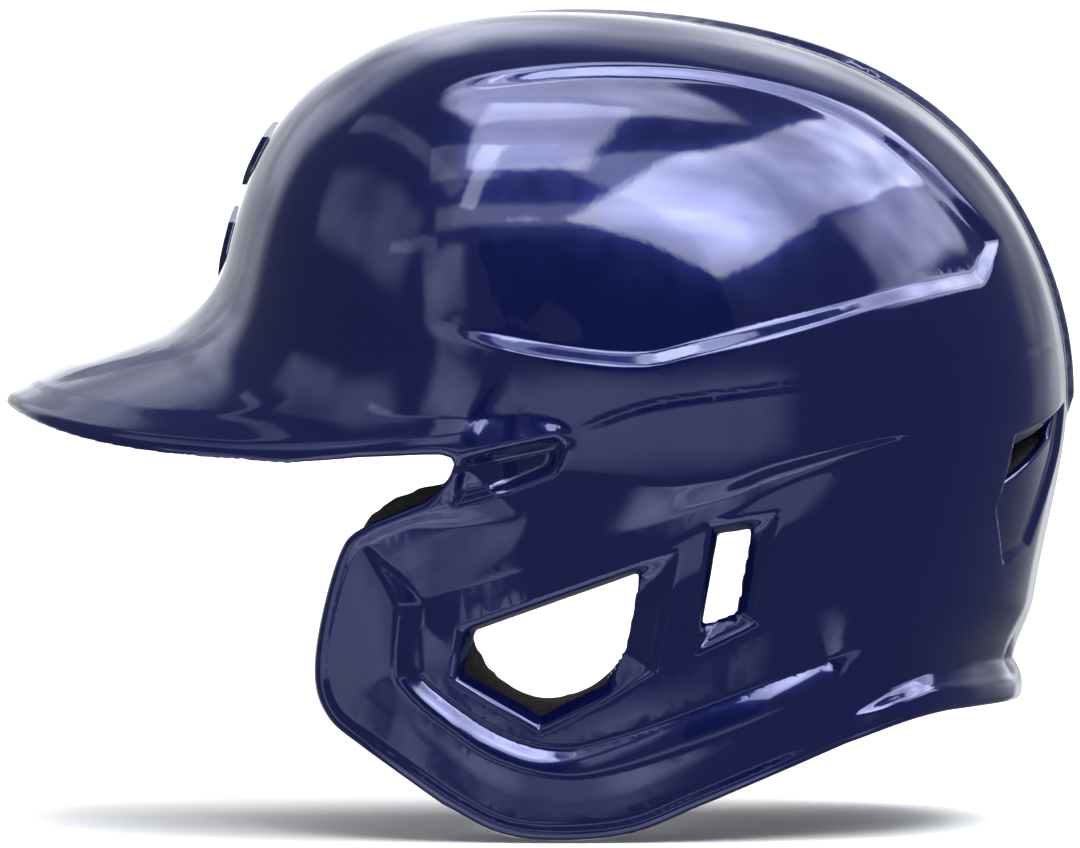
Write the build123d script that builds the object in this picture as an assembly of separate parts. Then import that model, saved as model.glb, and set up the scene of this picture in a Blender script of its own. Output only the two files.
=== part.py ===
from build123d import *
import os
from math import cos, hypot, radians, sin

# Baseball batting helmet with a single ear flap on the wearer's left.
# Millimetres. +Z is up, the brim points along -Y and the ear flap is on +X.
# The origin is the middle of the head cavity, level with the brow.

# ---- driving dimensions ------------------------------------------------------
HALF_WIDTH = 104.0          # shell, centre plane to the outside over the ears
SHELL_WALL = 3.4            # moulded ABS
FOAM_FROM = 3.7             # foam liner, depth of its outer face below the shell's outside
FOAM_TO = 11.7
PAD_FROM = 12.0             # comfort pads, the same way
PAD_TO = 22.0
JAW_PAD_TO = 15.5           # the ear flap has no foam: its pad lies on the shell
FOAM_BASE, FOAM_TOP = 2.0, 69.0         # z of the wall panels of foam
NAPE_FOAM_BASE = -46.0
CROWN_FOAM_BASE = 74.0
BROW_FOAM_ABOVE = 6.0       # front foam, height of its lower edge above the brim's arch
CROWN_FOAM_CORNER = 30.0
PAD_BASE, PAD_TOP = 8.0, 46.0           # z of the pads along both sides
PAD_CORNER = 12.0
CROWN_PAD_CORNER = 16.0
OCCIPUT_CORNER = 10.0
PANEL_DEPTH = 1.4           # recess along each upper side
BADGE_RISE = 2.0            # raised badge on the forehead
BADGE_GAP = 0.1

# The dome is a family of side profiles, each one shrunk about SIDE_CENTRE.
SIDE_CENTRE = (-24.0, -58.0)
ROUNDNESS = 2.5             # how soon the profile shrinks towards the ear
SOFTNESS = 0.4              # share of a plain ellipse in the dome's width
FULLNESS = 2.7              # power of the rest, which squares the sides
STATIONS = (0.0, 0.2, 0.42, 0.62, 0.78, 0.88, 0.94, 0.975, 0.992, 0.999)
SIDE_PROFILE = (            # (y, z) of the centre plane, closed below the rim
    (-126, -30), (-124, 20), (-118, 58), (-104, 89), (-74, 112), (-22, 120),
    (32, 113), (80, 91), (110, 52), (119, 10), (111, -38), (106, -75),
    (90, -150), (20, -205), (-70, -190), (-118, -115),
)

# The brim is an arch, parabolic across, that slides forward and down from the forehead.
BRIM_TIP = -182.7           # y of the tip
BRIM_TIP_TOP = 11.7         # z of the tip's upper face
BRIM_WALL = 3.4
BRIM_SLOPE = 0.36           # rise per mm towards the forehead
# (y, sag) along the brim, whose height drops by sag times x squared
BRIM_SAGS = ((-190, 0.0056), (-140, 0.0048), (-100, 0.0050), (-45, 0.0064))
BRIM_HALF_WIDTH = 100.0
BRIM_CENTRE = -60.0         # y of the middle of the brim's half-ellipse
BRIM_REAR = -56.0           # y where the brim runs out above the ear
ARCH_HALF = 125.0           # half-width over which the arch is drawn

REACH = 150.0               # longer than the part, for cutting bodies
CUT_PROUD = 5.0             # how far a recess cutter stands proud of the surface
BROW_Z = -7.0               # z of the brim's lower edge at the temples
NAPE_Z = -76.0

# ---- helpers -----------------------------------------------------------------


def dome(depth):
    """Solid dome whose surface lies depth inside the outer surface."""
    cy, cz = SIDE_CENTRE
    sections = []
    for station in [-s for s in STATIONS[:0:-1]] + list(STATIONS):
        x = station * (HALF_WIDTH - depth)
        width = SOFTNESS * station ** 2 + (1 - SOFTNESS) * abs(station) ** FULLNESS
        shrink = (1 - width) ** (1 / ROUNDNESS)
        points = []
        for y, z in SIDE_PROFILE:
            far = hypot(y - cy, z - cz)
            scale = shrink * (far - depth) / far
            points.append((x, cy + (y - cy) * scale, cz + (z - cz) * scale))
        sections.append(Face(Wire([Spline(*points, periodic=True)])))
    return loft(sections)


def layer(depth_from, depth_to):
    """Curved layer between two depths."""
    return dome(depth_from) - dome(depth_to)


def along_x(outline, x_from, x_to):
    """Bar whose (y, z) outline runs between two x."""
    face = Face(Wire([edge for part in outline for edge in part.edges()]))
    return Solid.extrude(face.moved(Location((x_from, 0, 0))), Vector(x_to - x_from, 0, 0))


def flat(points):
    """Plane face with straight edges through 3-D points."""
    return Face(Wire.make_polygon(points, close=True))


def side(y, z):
    return (0, y, z)


def line_yz(*points):
    return Polyline(*[side(y, z) for y, z in points])


def curve_yz(*points):
    return Spline(*[side(y, z) for y, z in points])


def loop_yz(*points):
    return Spline(*[side(y, z) for y, z in points], periodic=True)


def polygon_yz(*points):
    return Wire.make_polygon([side(y, z) for y, z in points], close=True)


def arch_body(z_low, z_high, y_to, half=ARCH_HALF):
    """Body between two copies of the brim's upper face, shifted up by z_low and z_high."""
    sections = []
    for y, sag in BRIM_SAGS:
        top = BRIM_TIP_TOP + BRIM_SLOPE * (y - BRIM_TIP)
        drop = sag * half ** 2
        low, high = [Bezier((-half, y, top + shift - drop), (0, y, top + shift + drop),
                            (half, y, top + shift - drop)) for shift in (z_low, z_high)]
        rim = [low, high, Line(low @ 0, high @ 0), Line(low @ 1, high @ 1)]
        sections.append(Face(Wire(rim)))
    front = Box(2 * REACH, REACH, 4 * REACH).moved(Location((0, y_to - REACH / 2, 0)))
    return loft(sections) & front


def wedge(angle_from, angle_to, z_low, z_high):
    """Pie slice about the Z axis; angles in degrees from +X."""
    far = 2 * REACH
    rim = [(far * cos(radians(a)), far * sin(radians(a)), z_low)
           for a in (angle_from, (angle_from + angle_to) / 2, angle_to)]
    return Solid.extrude(flat([(0, 0, z_low), *rim]), Vector(0, 0, z_high - z_low))


def block(x_range, y_range, z_range, corner, axis):
    """Rounded bar: a rectangle with rounded corners, running along one axis."""
    spans = (x_range, y_range, z_range)
    size = [high - low for low, high in spans]
    centre = [(low + high) / 2 for low, high in spans]
    body = Box(*size).moved(Location(centre))
    return fillet(body.edges().filter_by(axis), corner)


# ---- outlines of the shell ----------------------------------------------------


def left_side():
    """Everything the shell keeps on the flap side."""
    top = REACH
    outline = [
        line_yz((-REACH, top), (-REACH, BROW_Z), (BRIM_REAR, BROW_Z), (-59.5, -18), (-76, -24.5)),
        curve_yz((-76, -24.5), (-84, -31), (-90, -50), (-92, -67), (-88, -78), (-78, -86)),
        line_yz((-78, -86), (-57, -100.5)),
        curve_yz((-57, -100.5), (-42, -108), (-26, -110), (-6, -108), (13, -100.5)),
        line_yz((13, -100.5), (52, -84.5)),
        curve_yz((52, -84.5), (72, -78), (90, NAPE_Z), (130, NAPE_Z)),
        line_yz((130, NAPE_Z), (REACH, NAPE_Z), (REACH, top), (-REACH, top)),
    ]
    return along_x(outline, 0, REACH)


def right_side():
    """Everything the shell keeps on the open side, clear of the ear."""
    top = REACH
    outline = [
        line_yz((-REACH, top), (-REACH, BROW_Z), (BRIM_REAR, BROW_Z)),
        curve_yz((BRIM_REAR, BROW_Z), (-44, -10), (0, -11), (32, -14), (50, -28), (60, -54),
                 (76, -72), (100, NAPE_Z)),
        line_yz((100, NAPE_Z), (REACH, NAPE_Z), (REACH, top), (-REACH, top)),
    ]
    return along_x(outline, -REACH, 0)


EAR_MOUTH = ((-52, -53.5), (5.5, -33), (-0.5, -64.5), (-15, -73), (-31, -80.5), (-54, -66.5))
EAR_THROAT = ((-47.5, -54), (-5, -39), (-9, -58.5), (-14.5, -68), (-30.5, -75.5), (-50.5, -64.5))
SLOT_MOUTH = ((15, -25.8), (32.8, -22.5), (27.3, -51.6), (11, -59.5))
SLOT_THROAT = ((17.5, -28.5), (25.2, -27.2), (21.2, -48.3), (13.2, -51.5))
EAR_X = 103.9               # shell's outer face around the ear
THROAT_X = 100.6            # inner face there, where the bevelled walls end


def funnel(mouth, throat):
    """Bevelled opening: wide at the outer face, narrow at the inner one."""
    def ring(points, x):
        return flat([(x, y, z) for y, z in points])
    slope = (EAR_X + 1 - THROAT_X) / (EAR_X - THROAT_X)
    wide = [(t[0] + (m[0] - t[0]) * slope, t[1] + (m[1] - t[1]) * slope)
            for m, t in zip(mouth, throat)]
    bevel = loft([ring(throat, THROAT_X), ring(wide, EAR_X + 1)], ruled=True)
    return bevel + along_x([polygon_yz(*throat)], 60, THROAT_X + 0.5)


VENT = ((34, 4), (37, -2), (62.5, -14.5), (61, -4.5))   # (x, z), seen from behind


def vent_cutters(grow=0.0):
    """Slanting slots through the back of the shell, left and right."""
    cx = sum(x for x, z in VENT) / len(VENT)
    cz = sum(z for x, z in VENT) / len(VENT)
    cutters = []
    for sign in (1, -1):
        ring = [(sign * (cx + (x - cx) * (1 + grow)), 60, cz + (z - cz) * (1 + grow))
                for x, z in VENT]
        cutters.append(Solid.extrude(flat(ring), Vector(0, 80, 0)))
    return cutters


def side_panels():
    """Shallow recess along each upper side, open towards the brow."""
    band = layer(-CUT_PROUD, PANEL_DEPTH)
    outline = [
        line_yz((-62, 24.5), (-62, 91.5)),
        curve_yz((-62, 91.5), (-47, 97), (-14, 100.5), (20, 99), (50, 91), (74, 75), (98, 52)),
        line_yz((98, 52), (92, 41)),
        curve_yz((92, 41), (67, 35), (39, 27), (12, 20), (-6, 17.5), (-35, 21), (-62, 24.5)),
    ]
    left = band & along_x(outline, 30, REACH)
    return [left, left.mirror(Plane.YZ)]


# ---- sub-parts ---------------------------------------------------------------


def make_brim():
    plan = Ellipse(BRIM_HALF_WIDTH, BRIM_CENTRE - BRIM_TIP).face()
    plan = plan.moved(Location((0, BRIM_CENTRE, -REACH)))
    column = Solid.extrude(plan, Vector(0, 0, 2 * REACH))
    return arch_body(-BRIM_WALL, 0, BRIM_REAR) & column


def make_shell():
    outer = dome(0)
    inner = dome(SHELL_WALL)
    wall = outer - inner
    kept = wall & (left_side() + right_side())
    above_flap = Box(2 * REACH, 2 * REACH, REACH).moved(Location((0, 0, BROW_Z + REACH / 2)))
    kept -= arch_body(-REACH, -BRIM_WALL / 2, BRIM_REAR) & above_flap
    shell = kept + (make_brim() - inner)
    for cutter in side_panels() + vent_cutters():
        shell -= cutter
    shell -= funnel(EAR_MOUTH, EAR_THROAT)
    shell -= funnel(SLOT_MOUTH, SLOT_THROAT)
    return shell


def lozenge(z_low, z_high, half, shoulder):
    """Six-sided bar along Y, standing on its point."""
    middle = (z_low + z_high) / 2
    ring = [(0, -REACH, z_low), (half, -REACH, middle - shoulder), (half, -REACH, middle + shoulder),
            (0, -REACH, z_high), (-half, -REACH, middle + shoulder),
            (-half, -REACH, middle - shoulder)]
    return Solid.extrude(flat(ring), Vector(0, 100, 0))


def make_badges():
    skin = layer(-BADGE_RISE, -BADGE_GAP)
    return {
        "badge_upper": skin & lozenge(70, 88, 13, 4),
        "badge_lower": skin & lozenge(44, 64, 10, 5),
    }


def make_foam():
    foam = layer(FOAM_FROM, FOAM_TO)
    above_brow = arch_body(BROW_FOAM_ABOVE, REACH, -46)
    left = foam & wedge(-44, 50, FOAM_BASE, FOAM_TOP)
    rear = foam & wedge(53, 127, NAPE_FOAM_BASE, FOAM_TOP)
    for cutter in vent_cutters(0.25):
        rear -= cutter
    return {
        "foam_front": foam & wedge(-133, -47, FOAM_BASE, FOAM_TOP) & above_brow,
        "foam_crown": foam & block((-90, 90), (-100, 100), (CROWN_FOAM_BASE, REACH),
                                   CROWN_FOAM_CORNER, Axis.Z),
        "foam_left": left,
        "foam_right": left.mirror(Plane.YZ),
        "foam_rear": rear,
    }


def make_pads():
    pad = layer(PAD_FROM, PAD_TO)
    brow_band = arch_body(10, 36, -60)
    temple = pad & block((40, REACH), (-58, -14), (PAD_BASE, PAD_TOP), PAD_CORNER, Axis.X)
    above_ear = pad & block((40, REACH), (-6, 42), (PAD_BASE, PAD_TOP), PAD_CORNER, Axis.X)
    occiput = pad & block((7, 50), (40, REACH), (8, 48), OCCIPUT_CORNER, Axis.Y)
    return {
        "pad_forehead": (pad & brow_band
                         & block((-54, 54), (-REACH, -50), (0, 90), PAD_CORNER, Axis.Y)),
        "pad_temple_left": temple,
        "pad_temple_right": temple.mirror(Plane.YZ),
        "pad_side_left": above_ear,
        "pad_side_right": above_ear.mirror(Plane.YZ),
        "pad_crown_front": pad & block((-38, 38), (-50, 0), (50, REACH), CROWN_PAD_CORNER, Axis.Z),
        "pad_crown_rear": pad & block((-38, 38), (8, 62), (50, REACH), CROWN_PAD_CORNER, Axis.Z),
        "pad_occiput_left": occiput,
        "pad_occiput_right": occiput.mirror(Plane.YZ),
        "pad_nape": pad & block((-40, 40), (40, REACH), (-50, -14), PAD_CORNER, Axis.Y),
    }


def make_jaw_pad():
    """Ring of padding inside the flap, open at the ear, showing past its front edge."""
    body = layer(FOAM_FROM, JAW_PAD_TO)
    outline = loop_yz((-80, -29), (-74, -20.5), (-60, -14.5), (-30, -9), (4, -12), (10, -40),
                      (6, -72), (-8, -92), (-30, -99), (-56, -91), (-80, -74), (-85, -52))
    hole = loop_yz((-46, -60), (-46, -48), (-24, -38), (-5, -34), (-4, -45), (-9, -60),
                   (-20, -69), (-34, -70))
    return body & along_x([outline], 50, REACH) - along_x([hole], 40, REACH)


def main():
    os.makedirs("parts", exist_ok=True)
    pieces = {"shell": make_shell(), "pad_jaw": make_jaw_pad()}
    pieces |= make_badges() | make_foam() | make_pads()
    for node, solid in pieces.items():
        export_step(solid, f"parts/{node}.step")


main()
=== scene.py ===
import math

import bpy
import numpy as np
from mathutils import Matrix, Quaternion, Vector


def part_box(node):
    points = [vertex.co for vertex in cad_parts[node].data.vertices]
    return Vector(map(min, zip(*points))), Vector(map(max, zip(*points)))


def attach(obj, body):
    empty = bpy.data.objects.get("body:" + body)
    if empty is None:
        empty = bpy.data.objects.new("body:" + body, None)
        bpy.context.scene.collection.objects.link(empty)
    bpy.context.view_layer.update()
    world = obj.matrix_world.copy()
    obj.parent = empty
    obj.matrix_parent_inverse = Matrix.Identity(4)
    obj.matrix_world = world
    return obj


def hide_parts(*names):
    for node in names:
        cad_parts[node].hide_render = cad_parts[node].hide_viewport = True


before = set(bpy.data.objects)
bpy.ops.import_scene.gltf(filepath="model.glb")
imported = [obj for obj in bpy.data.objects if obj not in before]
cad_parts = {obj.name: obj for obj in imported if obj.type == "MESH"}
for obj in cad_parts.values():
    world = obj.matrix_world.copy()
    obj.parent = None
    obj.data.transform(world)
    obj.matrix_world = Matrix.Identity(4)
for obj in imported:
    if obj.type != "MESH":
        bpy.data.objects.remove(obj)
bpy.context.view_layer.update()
MM = 0.001

# ---- the dome and brim, the same formulas as the CAD: mm, y to the back, z up ----
HALF_WIDTH = 104.0
WALL = 3.4
SIDE_CENTRE = (-24.0, -58.0)
ROUNDNESS = 2.5
BLEND_POWER = 2.4
SOFTNESS, FULLNESS = 0.4, 2.7
SIDE_PROFILE = [
    (-126, -30), (-124, 20), (-118, 58), (-104, 89), (-74, 112), (-22, 120),
    (32, 113), (80, 91), (110, 52), (119, 10), (111, -38), (106, -75),
    (90, -150), (20, -205), (-70, -190), (-118, -115),
]
BRIM_TIP, BRIM_TIP_TOP, BRIM_SLOPE = -182.7, 11.7, 0.36
BRIM_SAGS = [(-190, 0.0056), (-140, 0.0048), (-100, 0.0050), (-45, 0.0064)]     # y, droop over x squared
BRIM_HALF_WIDTH, BRIM_CENTRE, BRIM_REAR = 100.0, -60.0, -56.0
NAPE_Z = -76.0


def smax(a, b, k):
    """The larger of two, blended over k."""
    h = np.maximum(k - np.abs(a - b), 0.0) / k
    return np.maximum(a, b) + h * h * k * 0.25


def smin(a, b, k):
    """The smaller of two, blended over k."""
    return -smax(-a, -b, k)


def ramp(v, start, end):
    """Straight rise from 0 to 1 as v goes from start to end."""
    return np.clip((v - start) / (end - start), 0.0, 1.0)


def ease(v, start, end):
    """Soft rise from 0 to 1 as v goes from start to end."""
    t = ramp(v, start, end)
    return t * t * (3 - 2 * t)


def curve(points, closed=False, per=16):
    """Catmull-Rom curve through the points."""
    p = np.array(points, float)
    n = len(p)
    if closed:
        ext = np.vstack([p[-1:], p, p[:2]])
    else:
        ext = np.vstack([2 * p[0] - p[1], p, 2 * p[-1] - p[-2]])
    out = []
    t = np.linspace(0, 1, per, endpoint=False)[:, None]
    for i in range(n if closed else n - 1):
        a, b, c, d = ext[i:i + 4]
        out.append(0.5 * (2 * b + (c - a) * t + (2 * a - 5 * b + 4 * c - d) * t ** 2
                          + (3 * b - a - 3 * c + d) * t ** 3))
    if not closed:
        out.append(p[-1:])
    return np.vstack(out)


def periodic_spline(points, per=600):
    """Closed cubic spline with smooth curvature."""
    p = np.array(points, float)
    n = len(p)
    step = np.linalg.norm(np.roll(p, -1, 0) - p, axis=1)
    m = np.zeros((n, n))
    rhs = np.zeros((n, 2))
    for i in range(n):
        h0, h1 = step[i - 1], step[i]
        m[i, i - 1] += h0
        m[i, i] += 2 * (h0 + h1)
        m[i, (i + 1) % n] += h1
        rhs[i] = 6 * ((p[(i + 1) % n] - p[i]) / h1 - (p[i] - p[i - 1]) / h0)
    second = np.linalg.solve(m, rhs)
    out = []
    for i in range(n):
        h = step[i]
        j = (i + 1) % n
        t = np.linspace(0, h, per, endpoint=False)[:, None]
        out.append(second[i] * (h - t) ** 3 / (6 * h) + second[j] * t ** 3 / (6 * h)
                   + (p[i] / h - second[i] * h / 6) * (h - t) + (p[j] / h - second[j] * h / 6) * t)
    return np.vstack(out)


def polar_table():
    """Radius of the side profile, and its slope, by angle about the side centre."""
    pts = periodic_spline(SIDE_PROFILE) - np.array(SIDE_CENTRE)
    ang = np.arctan2(pts[:, 1], pts[:, 0])
    order = np.argsort(ang)
    grid = np.linspace(-math.pi, math.pi, 16385)
    rad = np.interp(grid, ang[order], np.hypot(pts[:, 0], pts[:, 1])[order], period=2 * math.pi)
    return grid, rad, np.gradient(rad, grid)


ANGLES, RADII, RADII_SLOPE = polar_table()


def dome_distance(p):
    """Signed distance, near enough, to the dome's outside; negative inside."""
    u = np.abs(p[:, 0]) / HALF_WIDTH
    y, z = p[:, 1] - SIDE_CENTRE[0], p[:, 2] - SIDE_CENTRE[1]
    ang = np.arctan2(z, y)
    r = np.hypot(y, z) + 1e-6
    big = np.interp(ang, ANGLES, RADII)
    slope = np.interp(ang, ANGLES, RADII_SLOPE)
    v = r / big
    width = SOFTNESS * u ** 2 + (1 - SOFTNESS) * u ** FULLNESS
    width_slope = (2 * SOFTNESS * u + (1 - SOFTNESS) * FULLNESS * u ** (FULLNESS - 1)) / HALF_WIDTH
    total = width + v ** ROUNDNESS + 1e-9
    value = total ** (1 / BLEND_POWER) - 1
    side = ROUNDNESS * v ** (ROUNDNESS - 1)
    steep = np.sqrt(width_slope ** 2 + side ** 2 * (1 / big ** 2 + slope ** 2 / big ** 4))
    return value / (steep * total ** (1 / BLEND_POWER - 1) / BLEND_POWER + 1e-9)


# ---- outlines seen from the side (y, z) --------------------------------------
FAR = 260.0          # well past the helmet
LEFT_OUTLINE = np.vstack([
    [(-FAR, FAR), (-FAR, -15), (-112, -15), (-96, -9.5), (-80, -7.4), (-58, -6.4), (-54.6, -7.4),
     (-53.8, -9.2), (-55.4, -13), (-59.4, -17), (-62, -19), (-76, -24.5)],
    curve([(-76, -24.5), (-84, -31), (-90, -50), (-92, -67), (-88, -78), (-78, -86)])[1:],
    curve([(-57, -100.5), (-42, -108), (-26, -110), (-6, -108), (13, -100.5)]),
    curve([(52, -84.5), (72, -78), (90, NAPE_Z), (130, NAPE_Z)]),
    [(FAR, NAPE_Z), (FAR, FAR)],
])
RIGHT_OUTLINE = np.vstack([
    [(-FAR, FAR), (-FAR, -15), (-112, -15), (-96, -9.5), (-80, -7.6)],
    curve([(BRIM_REAR, -8), (-44, -10), (0, -11), (32, -14), (50, -28), (60, -54), (76, -72),
           (100, NAPE_Z)]),
    [(FAR, NAPE_Z), (FAR, FAR)],
])
EAR_MOUTH = [(-52, -53.5), (5.5, -33), (-0.5, -64.5), (-15, -73), (-31, -80.5), (-54, -66.5)]
EAR_THROAT = [(-47.5, -54), (-5, -39), (-9, -58.5), (-14.5, -68), (-30.5, -75.5), (-50.5, -64.5)]
SLOT_MOUTH = [(15, -25.8), (32.8, -22.5), (27.3, -51.6), (11, -59.5)]
SLOT_THROAT = [(17.5, -28.5), (25.2, -27.2), (21.2, -48.3), (13.2, -51.5)]
PANEL = np.vstack([
    [(-110, 24), (-110, 80)],
    curve([(-61, 93), (-47, 97.5), (-14, 100.7), (20, 99), (50, 91), (74, 75.5), (97, 52.5)]),
    curve([(91, 40), (67, 34.8), (39, 27), (12, 20.2), (-5, 17), (-30, 19.5), (-54, 24.5)]),
])
POCKET = [(-52.6, -7.5), (-26.5, -1.6), (-23.8, -4), (-27, -11.5), (-39, -16.2), (-54.6, -20.8)]
PARTING = np.vstack([
    curve([(-30, -3), (-21, 0), (-1, 6.8), (25, 10.5), (53, 14), (81, 18.5), (135, 27)]),
    [(FAR, 60), (FAR, FAR), (-FAR, FAR), (-FAR, -3)],
])
# the vents are outlined as seen from behind (|x|, z)
VENT = [(34, 4), (37, -2), (62.5, -14.5), (61, -4.5)]
VENT_PANEL = [(28, 8), (63, -1), (66.5, -22), (58.5, -37), (44, -32), (30, -6)]

# edges of the well around the ear, from front to back
FACET_TOP = [(-78, -29), (-55, -20), (-25, -11.8), (-10, -13), (5, -15), (20, -13.5), (32, -9.6),
             (57, -3.4), (91, 4)]
FACET_LOW = curve([(-67, -47), (-54, -42.5), (-25, -33.4), (-2, -25.3), (20.5, -17), (32, -11.8),
                   (57, -4.6), (70, -1.8), (91, 3)])
BEVEL_TOP = curve([(-68, -60), (-59.4, -69.5), (-41.5, -81.4), (-25.5, -85.4), (-9.4, -82), (12, -74.5),
                   (50, -60.5), (68, -55), (90, -50)])
BEVEL_LOW = curve([(-72, -62), (-66, -71), (-55, -80), (-43, -88), (-25.5, -92.6), (-9.4, -90.7),
                   (12, -84), (34, -75.5), (50, -69.5), (68, -64), (90, -60)])
LEDGE_TOP = [(-66, 3), (-47, 3.4), (-34, 4), (-25.5, 2.4), (-20, -0.5)]
LEDGE_LOW = [(-66, -9), (-54, -7), (-26.5, -1.6), (-20, -1.5)]

# ---- height of the moulded detail ---------------------------------------------
RECESS_DEPTH, RECESS_BEVEL = 1.8, 3.8
RIM_DEPTH = 1.0
PARTING_DEPTH = 0.3
PINCH, FLANGE = 3.4, 3.3
WELL_DEPTH, GROOVE_DEPTH, SCOOP_DEPTH = 2.8, 1.2, 1.3
LEDGE_HEIGHT = 1.6
POCKET_SHALLOW, POCKET_DEEP, POCKET_BEVEL = 1.5, 4.6, 2.2
VENT_PANEL_DEPTH, VENT_PANEL_BEVEL = 1.8, 1.8
SPINE_HEIGHT, SPINE_BEVEL = 1.9, 3.2
CORNER_BLUR = 0.65     # rounding of the detail's edges on the outer face
INNER_BLUR = 1.2       # and of what shows through on the inner one
CENTRE_STRIP = (26, 34)     # |x| where the side maps take over from the middle

# ---- a map per side: height of each feature over the (y, z) plane -------------
STEP = 0.5
MAP_Y = np.arange(-165.0, 145.0, STEP)
MAP_Z = np.arange(-130.0, 140.0, STEP)
GY, GZ = np.meshgrid(MAP_Y, MAP_Z, indexing="ij")


def polygon_distance(points, a, b):
    """Signed distance to a closed outline, negative inside."""
    pts = np.array(points, float)
    best = np.full(a.shape, 1e9)
    inside = np.zeros(a.shape, bool)
    for (ax, ay), (bx, by) in zip(pts, np.roll(pts, -1, 0)):
        ex, ey = bx - ax, by - ay
        size = ex * ex + ey * ey
        if size < 1e-12:
            continue
        t = np.clip(((a - ax) * ex + (b - ay) * ey) / size, 0, 1)
        best = np.minimum(best, (a - ax - t * ex) ** 2 + (b - ay - t * ey) ** 2)
        if ay != by:
            crosses = (ay > b) != (by > b)
            inside ^= crosses & (a < ex * (b - ay) / ey + ax)
    return np.where(inside, -1, 1) * np.sqrt(best)


def blur(field, radius):
    """Separable Gaussian of radius mm."""
    n = int(3 * radius / STEP) + 1
    kernel = np.exp(-0.5 * (np.arange(-n, n + 1) * STEP / radius) ** 2)
    kernel /= kernel.sum()
    for axis in (0, 1):
        pad = [(n, n) if i == axis else (0, 0) for i in (0, 1)]
        wide = np.pad(field, pad, mode="edge")
        field = sum(w * np.take(wide, range(i, i + field.shape[axis]), axis) for i, w in enumerate(kernel))
    return field


def lookup(table, y, z):
    """Value of a map between its grid points."""
    fy = np.clip((y - MAP_Y[0]) / STEP, 0, len(MAP_Y) - 1.001)
    fz = np.clip((z - MAP_Z[0]) / STEP, 0, len(MAP_Z) - 1.001)
    iy, iz = fy.astype(int), fz.astype(int)
    ty, tz = fy - iy, fz - iz
    return ((table[iy, iz] * (1 - tz) + table[iy, iz + 1] * tz) * (1 - ty)
            + (table[iy + 1, iz] * (1 - tz) + table[iy + 1, iz + 1] * tz) * ty)


def along_y(points):
    """Height of a line given by its points, at each y of the map."""
    pts = np.array(points, float)
    return np.interp(GY, pts[:, 0], pts[:, 1])


def nape_roll(y, z):
    """The wall pinches in above the nape's flange, then rolls out along a crease."""
    crease = np.interp(y, [50, 55, 64, 75, 95], [-80, -74.8, -69.7, -65.6, -64.5])
    rise = ramp(crease - z, 0, 8)
    flange = FLANGE * (1 - (1 - rise) ** 2) * ease(y, 48, 70)
    pinch = PINCH * ease(-z, 47, 64.5) * ease(y, 70, 98)
    return pinch - flange


def side_recess():
    """Long shallow recess along the side, which fades out towards the brow."""
    panel = polygon_distance(PANEL, GY, GZ)
    return RECESS_DEPTH * ease(GY, -68, -28) * ramp(-panel, 0.0, RECESS_BEVEL)


def rim_step(outline):
    """The skin steps down inside a raised bead along the rim; the bead is wider at the back."""
    bead = ease(-outline, 2.4, 4.4)
    rear_bead = ease(-outline, 6.0, 8.2)
    bead = bead + (rear_bead - bead) * ease(GY, 20, 70)
    return RIM_DEPTH * bead * (1 - ease(-outline, 10, 26)) * ease(GZ, -20, -26)


def parting_line():
    """Fine line that swoops back from the temple."""
    parting = polygon_distance(PARTING, GY, GZ)
    return PARTING_DEPTH * (1 - ease(np.abs(parting), 0.2, 1.1)) * ease(GY, -24, -12)


def ear_well():
    """Depth of the well around the ear, and of the groove and scoop in its bevels."""
    facet_top, facet_low = along_y(FACET_TOP), along_y(FACET_LOW)
    groove_low = facet_low - np.interp(GY, [-30, 0, 15, 40, 70], [8, 8, 6, 3, 2])
    bevel_top, bevel_low = along_y(BEVEL_TOP), along_y(BEVEL_LOW)
    front = np.interp(GZ, [-80, -67.7, -46.8, -29.5], [-66, -70, -69, -79])
    upper_bevel = ramp(facet_top - GZ, 0, np.maximum(facet_top - facet_low, 1))
    lower_bevel = ramp(GZ - bevel_low, 0, np.maximum(bevel_top - bevel_low, 1))
    well = np.minimum(np.minimum(upper_bevel, lower_bevel), ramp(GY - front, 0, 7))
    closing = ramp(GZ, -62, -28)
    well *= 1 - ease(GY, 46 - 16 * closing, 58 + 28 * closing)
    groove = ramp(facet_low - GZ, 0, facet_low - groove_low) * ramp(GY, -34, -4)
    groove *= (1 - ease(GY, 30, 74)) * (1 - ramp(groove_low - GZ, 0, 12))
    scoop = lower_bevel * (1 - ramp(GZ - bevel_top, 0, 14))
    return WELL_DEPTH * well, (GROOVE_DEPTH * groove + SCOOP_DEPTH * scoop) * well


def temple_ledge():
    """Small ledge above the temple pocket."""
    top, low = along_y(LEDGE_TOP), along_y(LEDGE_LOW)
    ledge = ramp(top - GZ, 0, np.maximum(top - low, 0.8))
    ledge *= ramp(GZ - low, -3, 0) * ease(-GY, 20, 30)
    return LEDGE_HEIGHT * ledge


def side_maps(left):
    """Depth of the features below the outer surface, and of the inner one, plus the outline."""
    outline = polygon_distance(LEFT_OUTLINE if left else RIGHT_OUTLINE, GY, GZ)
    depth = side_recess()
    inner = blur(np.maximum(depth - 0.6, 0), INNER_BLUR)
    depth += rim_step(outline)
    depth += parting_line()
    roll = nape_roll(GY, GZ)
    inner += roll
    depth += roll
    if left:
        well, grooves = ear_well()
        depth += well
        depth += grooves
        inner += blur(np.maximum(well + grooves - 0.5, 0), INNER_BLUR)
        depth -= temple_ledge()
        pocket = ramp(-polygon_distance(POCKET, GY, GZ), 0, POCKET_BEVEL)
        pocket_floor = np.interp(GZ, [-21, -5], [POCKET_SHALLOW, POCKET_DEEP])
        depth += pocket_floor * pocket
        inner += (pocket_floor - 0.4) * blur(pocket, 0.8)
    return {"depth": blur(depth, CORNER_BLUR), "inner": blur(inner, 0.6), "outline": outline}


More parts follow.
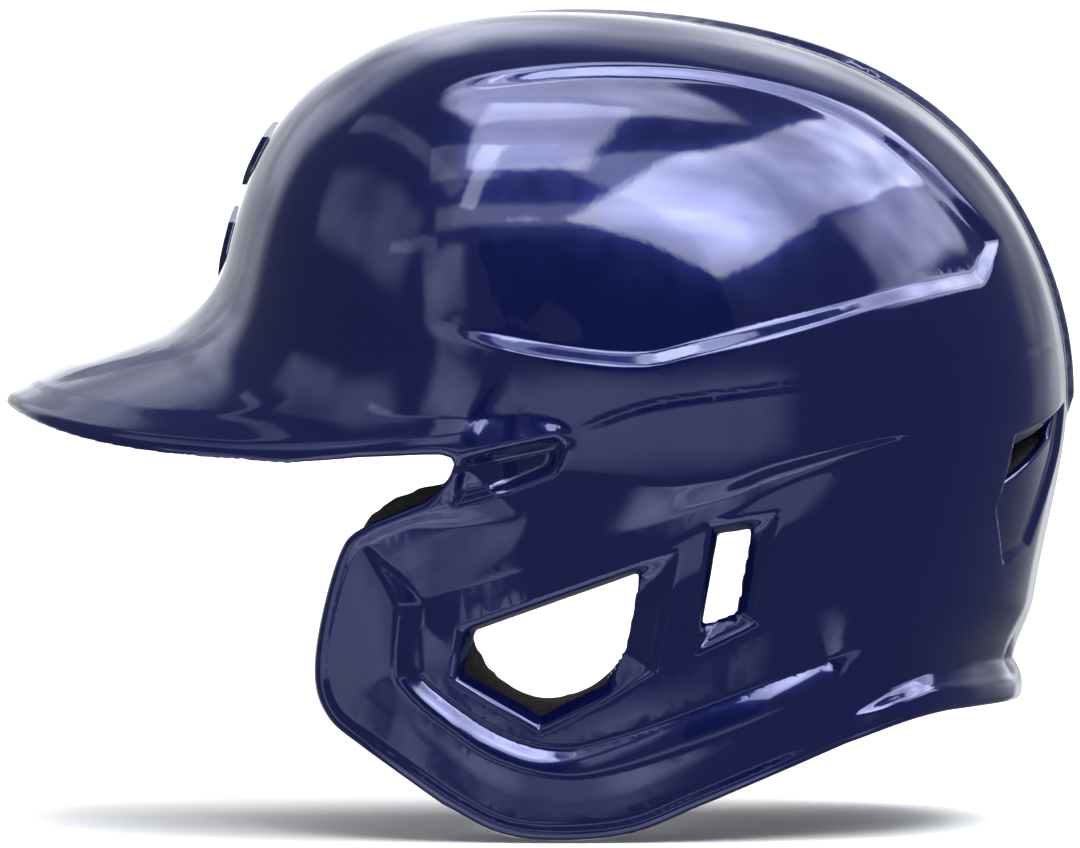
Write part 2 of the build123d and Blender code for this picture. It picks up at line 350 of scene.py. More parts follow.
LEFT, RIGHT = side_maps(True), side_maps(False)
HOLES = {name: polygon_distance(points, GY, GZ) for name, points in {
    "ear_mouth": EAR_MOUTH, "ear_throat": EAR_THROAT,
    "slot_mouth": SLOT_MOUTH, "slot_throat": SLOT_THROAT}.items()}
# in these two the map's first axis is |x|
REAR_VENT = polygon_distance(VENT, GY, GZ)
REAR_PANEL = blur(ramp(-polygon_distance(VENT_PANEL, GY, GZ), 0.0, VENT_PANEL_BEVEL), 0.4)
SAG = np.polyfit(*np.array(BRIM_SAGS).T, 3)
FILLET = 16.0               # between brim and forehead
THROAT_DEPTH, COLLAR_WIDTH = 6.0, 4.6
SIDE_START, BACK_START = 60, 60     # the side's openings start past this x, the back's past this y


def pick(p, key):
    """Left map for x > 0, right map for x < 0."""
    left = lookup(LEFT[key], p[:, 1], p[:, 2])
    right = lookup(RIGHT[key], p[:, 1], p[:, 2])
    return np.where(p[:, 0] > 0, left, right)


def brim_height(x, y):
    """Height of the brim's plain upper face."""
    return BRIM_TIP_TOP + BRIM_SLOPE * (y - BRIM_TIP) - np.polyval(SAG, y) * x * x


def brim_plan(x, y):
    """Distance to the brim's outline seen from above, an ellipse; negative inside."""
    a, b = BRIM_HALF_WIDTH, BRIM_CENTRE - BRIM_TIP
    v = (y - BRIM_CENTRE) / b
    u = x / a
    q = np.sqrt(u * u + v * v) + 1e-9
    return (q - 1) * q / np.sqrt((u / a) ** 2 + (v / b) ** 2 + 1e-12)


def relief(p):
    """How far the outer and the inner face lie below the plain dome's faces."""
    ax, y, z = np.abs(p[:, 0]), p[:, 1], p[:, 2]
    depth = pick(p, "depth") * ramp(ax, *CENTRE_STRIP)
    inner = pick(p, "inner") * ramp(ax, *CENTRE_STRIP)
    # the nape's flange carries on across the middle
    roll = nape_roll(y, z) * (1 - ramp(ax, *CENTRE_STRIP))
    depth += roll
    inner += roll
    # raised spine over the crown, higher and narrower towards the back
    spine_half = 25 - 9 * ease(y, 20, 115)
    spine = ramp(spine_half - ax, 0, SPINE_BEVEL) * ramp(z, 3, 10) * ease(y, -62, 60)
    depth -= SPINE_HEIGHT * spine
    rear_panel = lookup(REAR_PANEL, ax, z) * ramp(y, 60, 70)
    depth += VENT_PANEL_DEPTH * rear_panel
    inner += (VENT_PANEL_DEPTH - 0.5) * rear_panel
    return depth, inner


def brim_relief(x, y, plan):
    """Raised middle of the brim, its rolled edge and the fine line inside it."""
    rib = ramp((28 + 26 * ramp(y, -173, -114)) - np.abs(x), 0, 4.5) * (1 - ease(y, -126, -104))
    edge = ramp(-plan, 8.0, 0.0)
    return 1.1 * rib * ease(-plan, 7, 20) - 0.9 * edge - 0.3 * ramp(-plan, 8.6, 6.2)


def brim_bodies(p):
    """Everything below the brim's upper face, and what is cut away below its under face."""
    x, y, z = p[:, 0], p[:, 1], p[:, 2]
    norm = np.sqrt(1 + BRIM_SLOPE ** 2 + (2 * np.polyval(SAG, y) * x) ** 2)
    plan = brim_plan(x, y)
    face = (z - brim_height(x, y)) / norm - brim_relief(x, y, plan)
    lift = ease(y, -90, -66)
    upper = smax(face, plan, 2.0)
    upper = smax(smax(upper, y - BRIM_REAR - 4, 6.0), -(z + 12 - 4.5 * lift), 1.0)
    under = smax(smax(face + WALL, y - BRIM_REAR, 2.0), plan - 12, 2.0)
    under = smax(under, -(z + 16 - 6 * lift), 1.0)
    return upper, under


def cut_openings(shell, outer, p):
    """Ear hole and slot with bevelled walls that turn inwards, and the rear vents."""
    x, y, z = p[:, 0], p[:, 1], p[:, 2]
    side = SIDE_START - x
    for name in ("ear", "slot"):
        t = np.clip(-outer / THROAT_DEPTH, 0, 1)
        hole = (1 - t) * lookup(HOLES[name + "_mouth"], y, z) + t * lookup(HOLES[name + "_throat"], y, z)
        collar = np.maximum(smax(hole - COLLAR_WIDTH, -(outer + THROAT_DEPTH), 1.6), outer)
        shell = np.minimum(shell, np.maximum(collar, side))
        shell = smax(shell, -np.maximum(hole, side), 1.6)
    vent = np.maximum(lookup(REAR_VENT, np.abs(x), z), BACK_START - y)
    return smax(shell, -vent, 1.2)


def shell_distance(p):
    """Signed distance, near enough, to the whole moulding."""
    dome = dome_distance(p)
    depth, inner_depth = relief(p)
    outer = dome + depth
    inner = dome + WALL + inner_depth
    upper, under = brim_bodies(p)
    body = smin(outer, upper, FILLET)
    hollow = smin(inner, under, FILLET - 14.5 * ease(p[:, 1], -92, -66))
    shell = smax(body, -hollow, 2.0)
    shell = smax(shell, pick(p, "outline"), 2.2)
    return cut_openings(shell, outer, p)


# ---- surface meshes from distance functions -----------------------------------


def evaluate(function, points, chunk=400000):
    """Runs a distance function over many points, a chunk at a time."""
    return np.concatenate([function(points[i:i + chunk]) for i in range(0, len(points), chunk)])


def gradient(function, points, eps=0.25):
    g = np.empty_like(points)
    for axis in range(3):
        shift = np.zeros(3)
        shift[axis] = eps
        g[:, axis] = (evaluate(function, points + shift) - evaluate(function, points - shift)) / (2 * eps)
    return g


def settle(function, points, rounds, limit):
    """Moves points onto the zero surface, by at most limit a round."""
    for _ in range(rounds):
        value = evaluate(function, points)
        g = gradient(function, points)
        size = np.maximum((g * g).sum(1), 0.05)
        move = -g * (value / size)[:, None]
        length = np.linalg.norm(move, axis=1, keepdims=True)
        points = points + move * np.minimum(1, limit / np.maximum(length, 1e-9))
    return points


def relax(function, verts, quads, rounds):
    """Evens out the vertices along the surface, so that edges run smoothly."""
    pairs = np.vstack([quads[:, [0, 1]], quads[:, [1, 2]], quads[:, [2, 3]], quads[:, [3, 0]]])
    a = np.concatenate([pairs[:, 0], pairs[:, 1]])
    b = np.concatenate([pairs[:, 1], pairs[:, 0]])
    share = np.bincount(a, minlength=len(verts)).astype(float)
    for _ in range(rounds):
        mean = np.stack([np.bincount(a, verts[b, i], len(verts)) for i in range(3)], -1)
        mean /= np.maximum(share, 1)[:, None]
        verts = settle(function, verts + 0.6 * (mean - verts), 1, 0.8)
    return settle(function, verts, 1, 0.5)


def surface(function, low, high, pitch, block=8):
    """Quads on the zero surface, by surface nets on a grid filled only near the surface."""
    low, high = np.array(low, float), np.array(high, float)
    cells = (np.ceil((high - low) / (pitch * block)).astype(int)) * block
    shape = tuple(cells + 1)
    field = np.full(shape, 50.0, np.float32)
    blocks = np.stack(np.meshgrid(*[np.arange(c // block) for c in cells], indexing="ij"), -1).reshape(-1, 3)
    centres = low + (blocks + 0.5) * block * pitch
    near = evaluate(function, centres)
    reach = 0.9 * block * pitch + 2.0
    offsets = np.stack(np.meshgrid(*[np.arange(block + 1)] * 3, indexing="ij"), -1).reshape(-1, 3)
    live = blocks[np.abs(near) < reach]
    index = (live[:, None, :] * block + offsets[None]).reshape(-1, 3)
    key = np.ravel_multi_index(index.T, shape)
    key = np.unique(key)
    points = np.stack(np.unravel_index(key, shape), -1) * pitch + low
    field.reshape(-1)[key] = evaluate(function, points)
    negative = field < 0
    count = np.zeros(tuple(cells), np.int8)
    corners = [(i, j, k) for i in (0, 1) for j in (0, 1) for k in (0, 1)]
    for i, j, k in corners:
        count += negative[i:cells[0] + i, j:cells[1] + j, k:cells[2] + k]
    active = np.argwhere((count > 0) & (count < 8))
    number = np.full(tuple(cells), -1, np.int64)
    number[tuple(active.T)] = np.arange(len(active))
    total = np.zeros((len(active), 3))
    hits = np.zeros(len(active))
    for a in corners:
        for axis in range(3):
            if a[axis]:
                continue
            b = list(a)
            b[axis] = 1
            va = field[tuple((active + a).T)].astype(float)
            vb = field[tuple((active + b).T)].astype(float)
            cross = (va < 0) != (vb < 0)
            t = np.where(cross, va / np.where(cross, va - vb, 1), 0)
            place = np.array(a, float)[None] + t[:, None] * (np.array(b) - np.array(a))[None]
            total += place * cross[:, None]
            hits += cross
    verts = (active + total / hits[:, None]) * pitch + low
    quads = []
    for axis in range(3):
        u, v = [(1, 2), (2, 0), (0, 1)][axis]
        first = [slice(1, cells[i]) for i in range(3)]
        first[axis] = slice(0, cells[axis])
        second = list(first)
        second[axis] = slice(1, cells[axis] + 1)
        na, nb = negative[tuple(first)], negative[tuple(second)]
        for wanted, flip in ((na & ~nb, False), (~na & nb, True)):
            at = np.argwhere(wanted)
            base = at.copy()
            for i in range(3):
                if i != axis:
                    base[:, i] += 1
            ring = []
            for du, dv in ((-1, -1), (0, -1), (0, 0), (-1, 0)):
                cell = base.copy()
                cell[:, u] += du
                cell[:, v] += dv
                ring.append(number[tuple(cell.T)])
            ring = np.stack(ring, -1)
            quads.append(ring[:, ::-1] if flip else ring)
    quads = np.vstack(quads)
    quads = quads[(quads >= 0).all(1)]
    return verts, quads


def build_mesh(name, verts, faces):
    """Smooth-shaded object from corners in mm and faces that all have as many sides."""
    mesh = bpy.data.meshes.new(name)
    n, sides = faces.shape
    mesh.vertices.add(len(verts))
    mesh.vertices.foreach_set("co", (verts * MM).astype(np.float32).ravel())
    mesh.loops.add(n * sides)
    mesh.loops.foreach_set("vertex_index", faces.astype(np.int32).ravel())
    mesh.polygons.add(n)
    mesh.polygons.foreach_set("loop_start", np.arange(0, n * sides, sides, dtype=np.int32))
    mesh.update(calc_edges=True)
    mesh.validate()
    mesh.polygons.foreach_set("use_smooth", np.ones(len(mesh.polygons), bool))
    obj = bpy.data.objects.new(name, mesh)
    bpy.context.scene.collection.objects.link(obj)
    return obj


def coordinates(mesh):
    """Corners of a mesh in mm."""
    co = np.empty(len(mesh.vertices) * 3, np.float32)
    mesh.vertices.foreach_get("co", co)
    return co.reshape(-1, 3).astype(float) / MM


def apply_modifiers(obj):
    deps = bpy.context.evaluated_depsgraph_get()
    mesh = bpy.data.meshes.new_from_object(obj.evaluated_get(deps))
    obj.modifiers.clear()
    old = obj.data
    obj.data = mesh
    bpy.data.meshes.remove(old)
    return mesh


def moulding(name, function, low, high, pitch, triangles):
    """Mesh of a distance function, thinned to a triangle count, with exact normals."""
    verts, quads = surface(function, low, high, pitch)
    verts = settle(function, verts, 2, 0.5 * pitch)
    verts = relax(function, verts, quads, 3)
    obj = build_mesh(name, verts, quads)
    have = 2 * len(quads)
    if have > triangles:
        thin = obj.modifiers.new("thin", "DECIMATE")
        thin.ratio = triangles / have
        mesh = apply_modifiers(obj)
        mesh.name = name
        settled = settle(function, coordinates(mesh), 2, 0.4)
        mesh.vertices.foreach_set("co", (settled * MM).astype(np.float32).ravel())
    mesh = obj.data
    mesh.polygons.foreach_set("use_smooth", np.ones(len(mesh.polygons), bool))
    mesh.update()
    g = gradient(function, coordinates(mesh), 0.5)
    g /= np.maximum(np.linalg.norm(g, axis=1, keepdims=True), 1e-9)
    mesh.normals_split_custom_set_from_vertices(g.tolist())
    return obj


SHELL_PITCH, SHELL_TRIANGLES = ((1.0, 190000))
shell = moulding("shell_moulding", shell_distance, (-108, -188, -116), (108, 128, 128),
                 SHELL_PITCH, SHELL_TRIANGLES)
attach(shell, "root")
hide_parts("shell")


# ---- comfort pads --------------------------------------------------------------


def box_distance(a, b, a_range, b_range, corner):
    """Signed distance to a rectangle with rounded corners."""
    qa = np.abs(a - (a_range[0] + a_range[1]) / 2) - (a_range[1] - a_range[0]) / 2 + corner
    qb = np.abs(b - (b_range[0] + b_range[1]) / 2) - (b_range[1] - b_range[0]) / 2 + corner
    return np.hypot(np.maximum(qa, 0), np.maximum(qb, 0)) + np.minimum(np.maximum(qa, qb), 0) - corner


JAW_OUTLINE = polygon_distance(curve([
    (-80, -29), (-74, -20.5), (-60, -14.5), (-30, -9), (4, -12), (10, -40), (6, -72), (-8, -92),
    (-30, -99), (-56, -91), (-80, -74), (-85, -52)], closed=True), GY, GZ)
JAW_HOLE = polygon_distance(curve([
    (-46, -60), (-46, -48), (-24, -38), (-5, -34), (-4, -45), (-9, -60), (-20, -69), (-34, -70)],
    closed=True), GY, GZ)


def on_side(sign, y_range, z_range, corner):
    """Rounded rectangle on the left (sign 1) or right (sign -1) wall."""
    def region(p):
        flat = box_distance(p[:, 1], p[:, 2], y_range, z_range, corner)
        return np.maximum(flat, 40 - sign * p[:, 0])
    return region


def on_back(x_range, z_range, corner):
    """Rounded rectangle on the back wall."""
    def region(p):
        return np.maximum(box_distance(p[:, 0], p[:, 2], x_range, z_range, corner), 40 - p[:, 1])
    return region


def on_top(y_range, corner):
    """Rounded rectangle under the crown."""
    def region(p):
        return np.maximum(box_distance(p[:, 0], p[:, 1], (-38, 38), y_range, corner), 50 - p[:, 2])
    return region


def on_brow(p):
    """Band across the forehead that follows the brim."""
    above = p[:, 2] - brim_height(p[:, 0], p[:, 1])
    return np.maximum(box_distance(p[:, 0], above, (-54, 54), (10, 36), 12), p[:, 1] + 50)


def at_jaw(p):
    """Ring around the ear hole, inside the flap."""
    y, z = p[:, 1], p[:, 2]
    ring = np.maximum(lookup(JAW_OUTLINE, y, z), -lookup(JAW_HOLE, y, z))
    return np.maximum(ring, 50 - p[:, 0])


FOAM_FACE, HEAD_FACE = 12, 22        # depths below the dome's outside of most pads' two faces
JAW_BACK, JAW_FACE = 7.6, 16.0
TEMPLE_Y, SIDE_Y, SIDE_Z = (-58, -14), (-6, 42), (8, 46)
PAD_REGIONS = {
    "pad_forehead": on_brow,
    "pad_temple_left": on_side(1, TEMPLE_Y, SIDE_Z, 12),
    "pad_temple_right": on_side(-1, TEMPLE_Y, SIDE_Z, 12),
    "pad_side_left": on_side(1, SIDE_Y, SIDE_Z, 12),
    "pad_side_right": on_side(-1, SIDE_Y, SIDE_Z, 12),
    "pad_crown_front": on_top((-50, 0), 16),
    "pad_crown_rear": on_top((8, 62), 16),
    "pad_occiput_left": on_back((7, 50), (8, 48), 10),
    "pad_occiput_right": on_back((-50, -7), (8, 48), 10),
    "pad_nape": on_back((-40, 40), (-50, -14), 12),
    "pad_jaw": at_jaw,
}
PAD_PITCH = 2.6
PAD_ROUNDING = 7.0
PIPING_INSET, PIPING_RADIUS = 1.6, 1.3
HELD_DEPTH = 2.5       # this much of a pad, from the foam side, is held while it swells
PUFF_FRAMES, PUFF_LIMIT = 20, 1.6


def pad_distance(region, near, far):
    """Crowned cushion between two depths, with a piped seam around its edge."""
    middle, half = (near + far) / 2, (far - near) / 2

    def distance(p):
        d = dome_distance(p)
        edge = region(p)
        cushion = smax(edge, np.abs(d + middle) - half, PAD_ROUNDING)
        piping = np.hypot(edge + PIPING_INSET, d + middle) - PIPING_RADIUS
        return smin(cushion, piping, 0.8)
    return distance


def puff(obj):
    """A short cloth run that swells the cover and lets it wrinkle between its seams."""
    mesh = obj.data
    before = coordinates(mesh)
    d = dome_distance(before)
    held = obj.vertex_groups.new(name="held")
    for i in np.flatnonzero(-d < -d.max() + HELD_DEPTH):
        held.add([int(i)], 1.0, "REPLACE")
    cloth = obj.modifiers.new("puff", "CLOTH")
    c = cloth.settings
    c.quality = 6
    c.mass = 0.15
    c.tension_stiffness = c.compression_stiffness = 12
    c.shear_stiffness = 6
    c.bending_stiffness = 0.4
    c.use_pressure = True
    c.uniform_pressure_force = 4.0
    c.shrink_min = -0.03
    c.vertex_group_mass = "held"
    c.effector_weights.gravity = 0.0
    cloth.point_cache.frame_start, cloth.point_cache.frame_end = 1, PUFF_FRAMES
    for number in range(1, PUFF_FRAMES + 1):
        bpy.context.scene.frame_set(number)
    apply_modifiers(obj)
    after = coordinates(obj.data)
    bpy.context.scene.frame_set(1)
    move = after - before
    length = np.linalg.norm(move, axis=1, keepdims=True)
    move *= np.minimum(1, PUFF_LIMIT / np.maximum(length, 1e-9))
    obj.data.vertices.foreach_set("co", ((before + move) * MM).astype(np.float32).ravel())
    obj.data.update()


def node_limits(node, margin=3):
    """Box of a CAD node in mm, with a margin."""
    low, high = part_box(node)
    return np.array(low) / MM - margin, np.array(high) / MM + margin


def make_pad(node, region):
    """Cushion in the place of a CAD pad."""
    low, high = node_limits(node)
    near, far = (JAW_BACK, JAW_FACE) if node == "pad_jaw" else (FOAM_FACE, HEAD_FACE)
    function = pad_distance(region, near, far)
    verts, quads = surface(function, low, high, PAD_PITCH, block=4)
    verts = settle(function, verts, 2, 0.5 * PAD_PITCH)
    pad = build_mesh(node + "_cover", verts, quads)
    puff(pad)
    smooth = pad.modifiers.new("round", "SUBSURF")
    smooth.levels = smooth.render_levels = 1
    apply_modifiers(pad)
    pad.data.name = pad.name
    pad.data.polygons.foreach_set("use_smooth", np.ones(len(pad.data.polygons), bool))
    return pad


pads = []
for node, region in PAD_REGIONS.items():
    pad = make_pad(node, region)
    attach(pad, "root")
    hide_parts(node)
    pads.append(pad)


# ---- materials -----------------------------------------------------------------


def new_material(name):
    """Material with its nodes, its links and its main shader."""
    mat = bpy.data.materials.new(name)
    mat.use_nodes = True
    nodes, links = mat.node_tree.nodes, mat.node_tree.links
    return mat, nodes, links, nodes["Principled BSDF"]


def put(node, **values):
    """Sets a node's inputs by name, with _ for a space."""
    for key, value in values.items():
        node.inputs[key.replace("_", " ")].default_value = value
    return node


def noise(nodes, links, scale, detail, rough=0.5):
    """Noise over the object's own coordinates."""
    where = nodes.new("ShaderNodeTexCoord")
    tex = nodes.new("ShaderNodeTexNoise")
    links.new(where.outputs["Object"], tex.inputs["Vector"])
    return put(tex, Scale=scale, Detail=detail, Roughness=rough)


def mix_colours(nodes, links, factor, a, b):
    mix = nodes.new("ShaderNodeMix")
    mix.data_type = "RGBA"
    links.new(factor, mix.inputs[0])
    mix.inputs[6].default_value = a
    mix.inputs[7].default_value = b
    return mix.outputs[2]


def bump(nodes, links, height, shader, strength, distance, socket="Normal"):
    node = nodes.new("ShaderNodeBump")
    put(node, Strength=strength, Distance=distance)
    links.new(height, node.inputs["Height"])
    links.new(node.outputs["Normal"], shader.inputs[socket])
    return node


def gloss_navy(name, base, deep):
    """Metallic navy base under a clear coat, with faint orange peel and handling marks."""
    mat, nodes, links, shader = new_material(name)
    cloud = noise(nodes, links, 14.0, 2.0)
    colour = mix_colours(nodes, links, cloud.outputs["Fac"], base, deep)
    links.new(colour, shader.inputs["Base Color"])
    put(shader, Metallic=0.6, IOR=1.5, Specular_IOR_Level=0.2)
    put(shader, Coat_Weight=1.0, Coat_Roughness=0.012, Coat_IOR=1.55)
    marks = noise(nodes, links, 90.0, 6.0, 0.7)
    spread = nodes.new("ShaderNodeMapRange")
    put(spread, From_Min=0.4, From_Max=0.8, To_Min=0.12, To_Max=0.24)
    links.new(marks.outputs["Fac"], spread.inputs["Value"])
    links.new(spread.outputs["Result"], shader.inputs["Roughness"])
    peel = noise(nodes, links, 260.0, 2.0)
    bump(nodes, links, peel.outputs["Fac"], shader, 0.02, 0.0006, "Coat Normal")
    return mat


def brushed_fabric(name, dark, light):
    """Black brushed knit: fuzzy nap, clumped tone and a fine weave."""
    mat, nodes, links, shader = new_material(name)
    tuft = noise(nodes, links, 900.0, 5.0, 0.75)
    patch = noise(nodes, links, 60.0, 4.0, 0.6)
    both = nodes.new("ShaderNodeMath")
    both.operation = "MULTIPLY"
    links.new(tuft.outputs["Fac"], both.inputs[0])
    links.new(patch.outputs["Fac"], both.inputs[1])
    spread = nodes.new("ShaderNodeMapRange")
    put(spread, From_Min=0.12, From_Max=0.42)
    links.new(both.outputs["Value"], spread.inputs["Value"])
    links.new(mix_colours(nodes, links, spread.outputs["Result"], dark, light), shader.inputs["Base Color"])
    put(shader, Roughness=0.95, Sheen_Weight=0.12, Sheen_Roughness=0.4, Specular_IOR_Level=0.1)
    bump(nodes, links, tuft.outputs["Fac"], shader, 1.0, 0.002)
    return mat


def bead_foam(name, dark, light):
    """Moulded bead foam: packed cells with faint outlines."""
    mat, nodes, links, shader = new_material(name)
    where = nodes.new("ShaderNodeTexCoord")
    cells = nodes.new("ShaderNodeTexVoronoi")
    cells.feature = "DISTANCE_TO_EDGE"
    put(cells, Scale=330.0)
    links.new(where.outputs["Object"], cells.inputs["Vector"])
    spread = nodes.new("ShaderNodeMapRange")
    put(spread, From_Min=0.0, From_Max=0.12)
    links.new(cells.outputs["Distance"], spread.inputs["Value"])
    links.new(mix_colours(nodes, links, spread.outputs["Result"], dark, light), shader.inputs["Base Color"])
    put(shader, Roughness=0.7, Specular_IOR_Level=0.3)
    bump(nodes, links, spread.outputs["Result"], shader, 0.5, 0.0005)
    return mat


navy = gloss_navy("navy_gloss", (0.004, 0.009, 0.088, 1), (0.003, 0.007, 0.07, 1))
badge_navy = gloss_navy("badge_gloss", (0.006, 0.011, 0.10, 1), (0.005, 0.009, 0.08, 1))
fabric = brushed_fabric("black_fabric", (0.0012, 0.0012, 0.0014, 1), (0.014, 0.013, 0.013, 1))
foam = bead_foam("black_foam", (0.006, 0.006, 0.007, 1), (0.028, 0.028, 0.03, 1))


def wear(obj, mat):
    """Gives an object one material."""
    obj.data.materials.clear()
    obj.data.materials.append(mat)


wear(shell, navy)
for pad in pads:
    wear(pad, fabric)
for node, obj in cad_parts.items():
    if node.startswith("foam_"):
        wear(obj, foam)
    elif node.startswith("badge_"):
        wear(obj, badge_navy)


# ---- studio: directions in degrees, azimuth 0 the camera's side and 90 the helmet's back ----
FLOOR_Z = -0.1105
FLOOR_FRONT, FLOOR_BACK, SWEEP_RADIUS, WALL_TOP, HALF_LENGTH = 2.6, -1.6, 0.8, 3.2, 4.0


def backdrop():
    """Pale floor that sweeps up behind the helmet."""
    rows = []
    for x in np.linspace(FLOOR_FRONT, FLOOR_BACK, 12):
        rows.append((x, 0.0))
    for t in np.linspace(0, math.pi / 2, 12)[1:]:
        rows.append((FLOOR_BACK - SWEEP_RADIUS * math.sin(t), SWEEP_RADIUS * (1 - math.cos(t))))
    rows.append((FLOOR_BACK - SWEEP_RADIUS, WALL_TOP))
    verts = [(x / MM, y / MM, (FLOOR_Z + up) / MM) for x, up in rows for y in (-HALF_LENGTH, HALF_LENGTH)]
    faces = [(2 * i, 2 * i + 1, 2 * i + 3, 2 * i + 2) for i in range(len(rows) - 1)]
    sweep = build_mesh("backdrop", np.array(verts), np.array(faces))
    mat, nodes, links, shader = new_material("pale_paper")
    put(shader, Base_Color=(0.86, 0.86, 0.86, 1), Roughness=0.9)
    wear(sweep, mat)
    sweep.visible_glossy = False
    return sweep


def unit(azimuth, elevation):
    """Unit vector towards a direction."""
    az, el = math.radians(azimuth), math.radians(elevation)
    return Vector((math.cos(el) * math.cos(az), math.cos(el) * math.sin(az), math.sin(el)))


def softbox(name, azimuth, elevation, away, size, power):
    """Area light aimed at the helmet, which the gloss doesn't mirror."""
    place = unit(azimuth, elevation) * away
    lamp = bpy.data.lights.new(name, "AREA")
    lamp.shape = "RECTANGLE"
    lamp.size, lamp.size_y = size
    lamp.energy = power
    obj = bpy.data.objects.new(name, lamp)
    obj.location = place
    obj.rotation_euler = (-place).to_track_quat("-Z", "Y").to_euler()
    obj.visible_glossy = False
    obj.visible_camera = False
    bpy.context.scene.collection.objects.link(obj)
    return obj


def calculate(nodes, links, operation, a, b):
    """Math node between two values, each a number or another node's output."""
    node = nodes.new("ShaderNodeMath")
    node.operation = operation
    for socket, value in zip(node.inputs, (a, b)):
        if isinstance(value, (int, float)):
            socket.default_value = value
        else:
            links.new(value, socket)
    return node.outputs[0]


def fade(nodes, links, value, start, end):
    """Smooth 0 to 1 as value goes from start to end."""
    node = nodes.new("ShaderNodeMapRange")
    node.interpolation_type = "SMOOTHSTEP"
    put(node, From_Min=start, From_Max=end)
    links.new(value, node.inputs["Value"])
    return node.outputs["Result"]


def along(nodes, links, direction, axis):
    """How far a direction goes along an axis."""
    node = nodes.new("ShaderNodeVectorMath")
    node.operation = "DOT_PRODUCT"
    links.new(direction, node.inputs[0])
    node.inputs[1].default_value = axis
    return node.outputs["Value"]


def glow(nodes, links, direction, azimuth, elevation, half, soft, turn):
    """Soft-edged panel of light in one direction; sizes are in degrees."""
    centre = unit(azimuth, elevation)
    turned = Quaternion(centre, math.radians(turn))
    side = turned @ unit(azimuth + 90, 0)
    up = centre.cross(side)
    ahead = along(nodes, links, direction, centre)
    mask = fade(nodes, links, ahead, 0.02, 0.1)
    ahead = calculate(nodes, links, "MAXIMUM", ahead, 0.05)
    for axis, reach in zip((side, up), half):
        offset = calculate(nodes, links, "DIVIDE", along(nodes, links, direction, axis), ahead)
        offset = calculate(nodes, links, "ABSOLUTE", offset, 0.0)
        outer, inner = (math.tan(math.radians(a)) for a in (reach + soft, max(reach - soft, 0)))
        mask = calculate(nodes, links, "MULTIPLY", mask, fade(nodes, links, offset, outer, inner))
    return mask


PANELS = [   # name, azimuth, elevation, half width and height, soft edge, turn, strength
    ("overhead", 30, 86, (12, 8), 1.5, 0, 4.5),
    ("overhead_strip", 0, 72, (4.5, 12), 0.8, -8, 4.2),
    ("back_shoulder", 60, 60, (36, 10), 0.8, 7, 7.5),
    ("below_shoulder", 80, 42, (20, 9), 2, 0, 3.2),
    ("shoulder_gap", 22, 57, (9, 8), 0.8, 12, 1.6),
    ("front_streak", -7, 58, (1.6, 9), 0.5, -10, 3.6),
    ("front_patch", -18, 62, (8, 5), 0.8, 10, 1.3),
    ("brow_light", 2, 48, (16, 2.5), 1.2, 0, 1.5),
    ("brim_light", -15, 34, (6, 6), 1.5, 10, 1.3),
    ("forehead_streaks", -30, 40, (9, 1.4), 0.8, 8, 0.9),
    ("left_room", -60, 42, (22, 9), 3, 0, 0.5),
    ("left_high", -62, 64, (26, 2.5), 1.2, 0, 0.8),
    ("left_wall", -156, 14, (31, 43), 6, 6, 0.9),
    ("right_wall", 172, 24, (20, 40), 4, 0, 0.7),
    ("right_glow", 142, 20, (20, 24), 8, 0, 0.4),
    ("side_glow", 4, 15, (20, 5), 2.5, 3, 0.75),
    ("flap_glow", -58, -3, (11, 8), 3, 0, 0.7),
    ("floor_ahead", -24, -9, (22, 5), 1.5, 4, 0.8),
    ("floor", -12, -47, (46, 28), 3.5, 0, 1.2),
    ("floor_near", 5, -37, (50, 3), 1, 0, 0.9),
    ("camera_shadow", 7, 34, (7, 9), 0.6, 10, -1.2),
]
AMBIENT = 0.17
DARKEST = 0.05
ROOM_TINT = (0.93, 0.96, 1.0, 1)
WOBBLE = 0.1            # how much the panels' edges wander


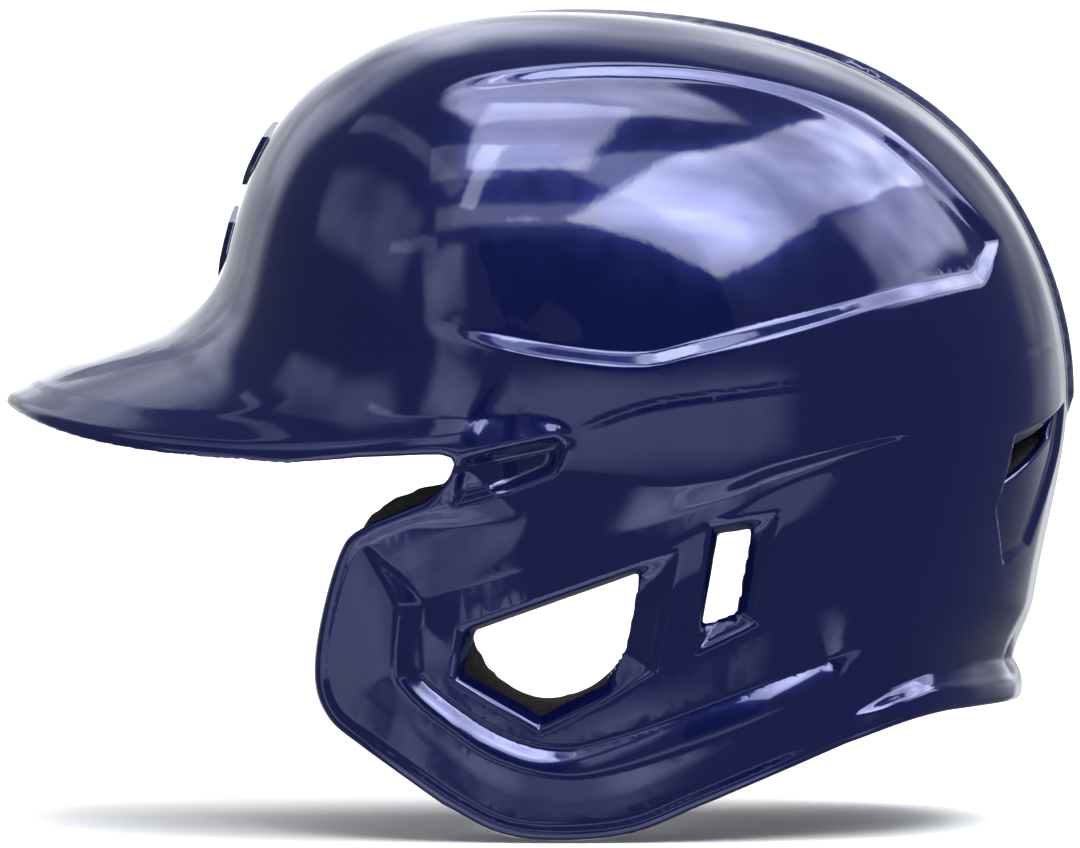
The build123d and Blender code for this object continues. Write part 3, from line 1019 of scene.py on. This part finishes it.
def wandering_direction(nodes, links, where):
    """View direction with a slow wobble, so that no panel has a perfect edge."""
    wobble = put(nodes.new("ShaderNodeTexNoise"), Scale=2.6, Detail=2.0, Roughness=0.5)
    links.new(where, wobble.inputs["Vector"])
    shift = nodes.new("ShaderNodeVectorMath")
    shift.operation = "MULTIPLY_ADD"
    links.new(wobble.outputs["Color"], shift.inputs[0])
    shift.inputs[1].default_value = (WOBBLE, WOBBLE, WOBBLE)
    links.new(where, shift.inputs[2])
    centred = nodes.new("ShaderNodeVectorMath")
    centred.operation = "SUBTRACT"
    links.new(shift.outputs[0], centred.inputs[0])
    centred.inputs[1].default_value = (WOBBLE / 2, WOBBLE / 2, WOBBLE / 2)
    return centred.outputs[0]


def studio_world():
    """Plain room with soft panels of light, which the gloss mirrors."""
    world = bpy.data.worlds.new("studio")
    bpy.context.scene.world = world
    world.use_nodes = True
    nodes, links = world.node_tree.nodes, world.node_tree.links
    where = nodes.new("ShaderNodeTexCoord").outputs["Generated"]
    direction = wandering_direction(nodes, links, where)
    total = 0.0
    for _, azimuth, elevation, half, soft, turn, strength in PANELS:
        mask = glow(nodes, links, direction, azimuth, elevation, half, soft, turn)
        total = calculate(nodes, links, "ADD", total, calculate(nodes, links, "MULTIPLY", mask, strength))
    patches = put(nodes.new("ShaderNodeTexNoise"), Scale=3.0, Detail=2.0, Roughness=0.5)
    links.new(where, patches.inputs["Vector"])
    uneven = calculate(nodes, links, "ADD", fade(nodes, links, patches.outputs["Fac"], 0.3, 0.75), 0.45)
    total = calculate(nodes, links, "MULTIPLY", total, uneven)
    total = calculate(nodes, links, "ADD", total, AMBIENT)
    total = calculate(nodes, links, "MAXIMUM", total, DARKEST)
    background = nodes["Background"]
    background.inputs["Color"].default_value = ROOM_TINT
    links.new(total, background.inputs["Strength"])


stage = [
    backdrop(),
    softbox("top_key", 10, 78, 1.5, (0.9, 0.7), 8),
    softbox("wall_wash", 180, 60, 2.4, (3.0, 1.2), 60),
    softbox("camera_fill", 0, 35, 2.6, (2.0, 2.0), 10),
]
studio_world()

# ---- camera: level with the brow, from the wearer's left -------------------------
CAMERA_X = 1.6
VIEW_WIDTH = 0.30831        # at the helmet's middle
VIEW_Y, VIEW_Z = -0.0308, 0.0017
lens = bpy.data.cameras.new("camera")
lens.sensor_width = 36.0
lens.lens = lens.sensor_width * CAMERA_X / VIEW_WIDTH
camera = bpy.data.objects.new("camera", lens)
camera.location = (CAMERA_X, VIEW_Y, VIEW_Z)
camera.rotation_euler = (math.pi / 2, 0, math.pi / 2)
bpy.context.scene.collection.objects.link(camera)
bpy.context.scene.camera = camera
bpy.context.scene.view_settings.view_transform = "Standard"
